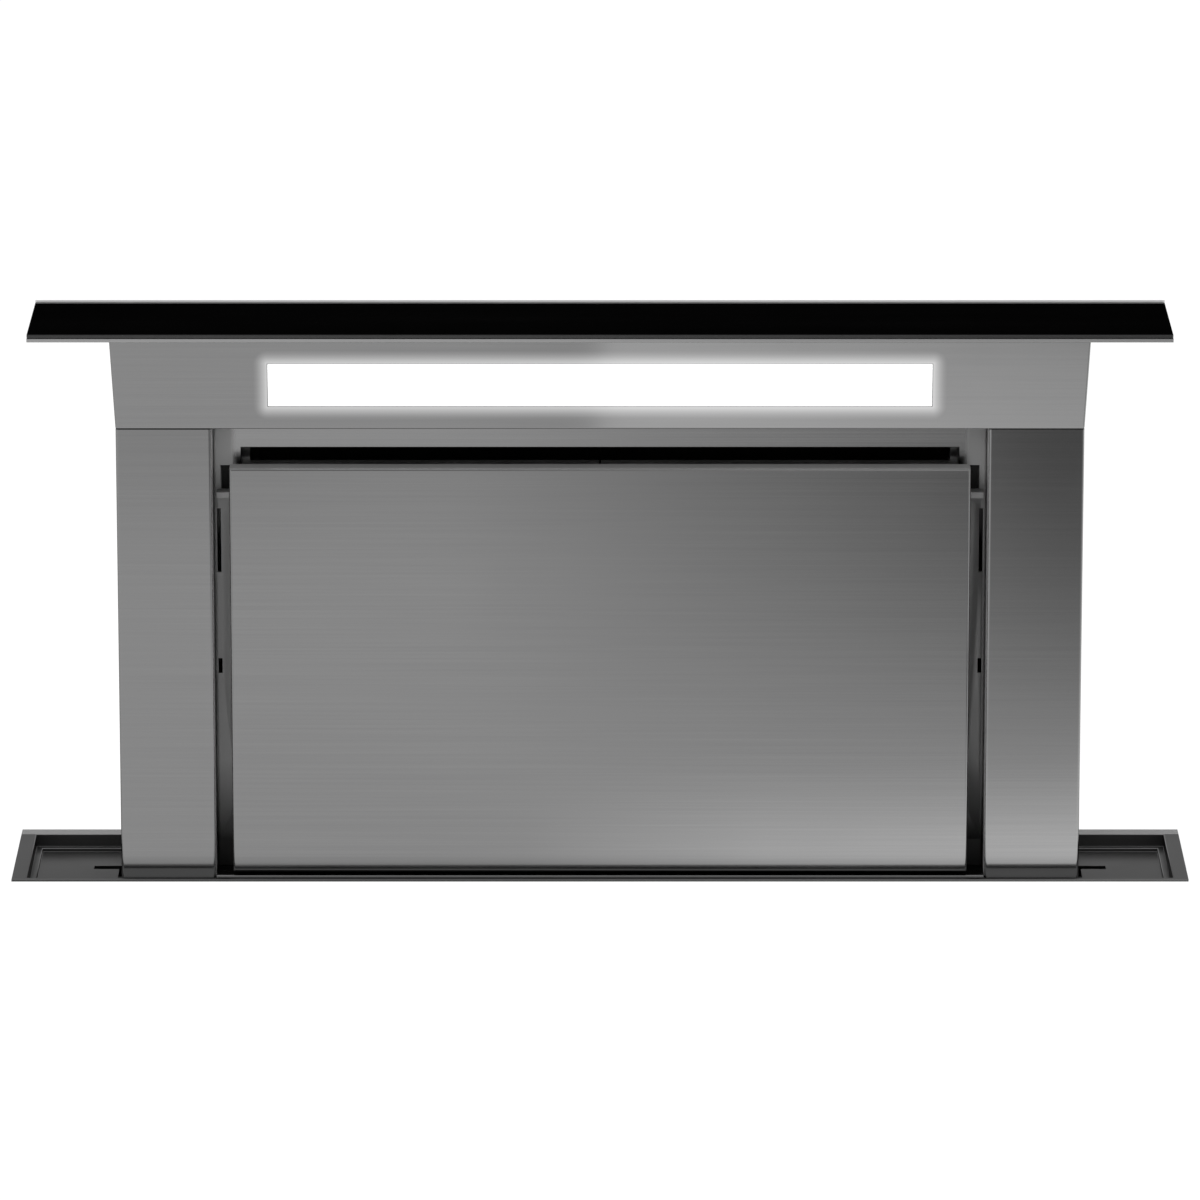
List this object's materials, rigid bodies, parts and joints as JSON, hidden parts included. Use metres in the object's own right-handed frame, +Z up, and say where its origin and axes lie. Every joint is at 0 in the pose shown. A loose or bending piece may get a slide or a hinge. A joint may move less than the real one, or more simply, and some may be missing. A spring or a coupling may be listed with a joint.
{
  "type": "downdraft vent",
  "caption": "Downdraft vent whose steel column rises out of a worktop trim tray, with a black glass top, lit head, suction panel, lift and blower.",
  "frame": {"origin": "on the worktop plane, under the middle of the trim's front rim", "axes": "+X to the right as the cook faces it, +Y to the back, +Z up out of the worktop"},
  "size_m": [0.914, 0.3216, 1.0694],
  "materials": {
    "column_steel": "brushed stainless steel, lines along X",
    "trim_steel": "brushed stainless steel, satin",
    "black_glass": "polished black tempered glass",
    "opal_lens": "lit opal diffuser",
    "galvanised": "galvanised sheet, dull spangle",
    "bare_steel": "machined, lightly oiled",
    "aluminium": "mill finish",
    "nylon": "natural nylon",
    "led_board": "white solder mask",
    "motor_black": "black enamel",
    "black_plastic": "fine texture"
  },
  "bodies": {
    "housing": {"trim_tray": "trim_steel", "housing_front_panel": "galvanised", "housing_rear_panel": "galvanised", "left_housing_panel": "galvanised", "right_housing_panel": "galvanised", "housing_bottom_pan": "galvanised", "left_floor_bracket": "galvanised", "right_floor_bracket": "galvanised", "left_rack": "bare_steel", "right_rack": "bare_steel", "left_guide_rail": "bare_steel", "right_guide_rail": "bare_steel", "blower_case": "galvanised", "blower_cover": "galvanised", "blower_scroll": "galvanised", "inlet_ring": "galvanised", "motor_mount": "galvanised", "fan_motor": "motor_black", "outlet_collar": "galvanised", "damper_pin": "bare_steel", "left_blower_foot": "black_plastic", "right_blower_foot": "black_plastic", "control_box": "galvanised", "control_box_lid": "galvanised", "cable_gland": "black_plastic"},
    "column": {"left_pillar": "column_steel", "right_pillar": "column_steel", "column_back_panel": "column_steel", "recess_frame": "column_steel", "column_sill": "trim_steel", "column_base_frame": "galvanised", "left_panel_hanger": "column_steel", "right_panel_hanger": "column_steel", "left_grease_filter": "aluminium", "right_grease_filter": "aluminium", "left_shoe_bracket": "galvanised", "right_shoe_bracket": "galvanised", "left_upper_shoe": "nylon", "right_upper_shoe": "nylon", "left_lower_shoe": "nylon", "right_lower_shoe": "nylon", "left_shaft_bush": "nylon", "right_shaft_bush": "nylon", "lift_gearbox": "aluminium", "lift_motor": "motor_black", "head_shell": "column_steel", "lamp_lens": "opal_lens", "lamp_housing": "aluminium", "led_board": "led_board", "glass_carrier": "column_steel", "glass_top": "black_glass"},
    "suction_panel": {"suction_panel": "column_steel"},
    "drive_shaft": {"cross_shaft": "bare_steel", "left_pinion": "bare_steel", "right_pinion": "bare_steel"},
    "impeller": {"impeller": "aluminium", "motor_shaft": "bare_steel"},
    "front_damper": {"front_damper_flap": "aluminium"},
    "rear_damper": {"rear_damper_flap": "aluminium"}
  },
  "joints": [
    {"name": "column_lift", "type": "slide", "parent": "housing", "child": "column", "axis": [0, 0, 1], "range_m": [-0.4316, 0]},
    {"name": "shaft_turn", "type": "hinge", "parent": "column", "child": "drive_shaft", "pos_m": [0, 0.0395, -0.038], "axis": [1, 0, 0], "range_deg": [0, 1240]},
    {"name": "panel_lift_off", "type": "slide", "parent": "column", "child": "suction_panel", "axis": [0, 0, 1], "range_m": [0, 0.012]},
    {"name": "impeller_spin", "type": "hinge", "parent": "housing", "child": "impeller", "pos_m": [0, -0.08, -0.46037], "axis": [0, 1, 0], "continuous": true},
    {"name": "front_damper_swing", "type": "hinge", "parent": "housing", "child": "front_damper", "pos_m": [-0.1743, -0.0801, -0.36537], "axis": [0, 0, 1], "range_deg": [-80, 0], "stiffness_Nm_per_rad": 0.004, "springref_deg": 17.19},
    {"name": "rear_damper_swing", "type": "hinge", "parent": "housing", "child": "rear_damper", "pos_m": [-0.1743, -0.0801, -0.36537], "axis": [0, 0, 1], "range_deg": [0, 80], "stiffness_Nm_per_rad": 0.004, "springref_deg": -17.19}
  ],
  "couplings": [
    {"joint": "shaft_turn", "follows": "column_lift", "rad_per_m": -50}
  ]
}
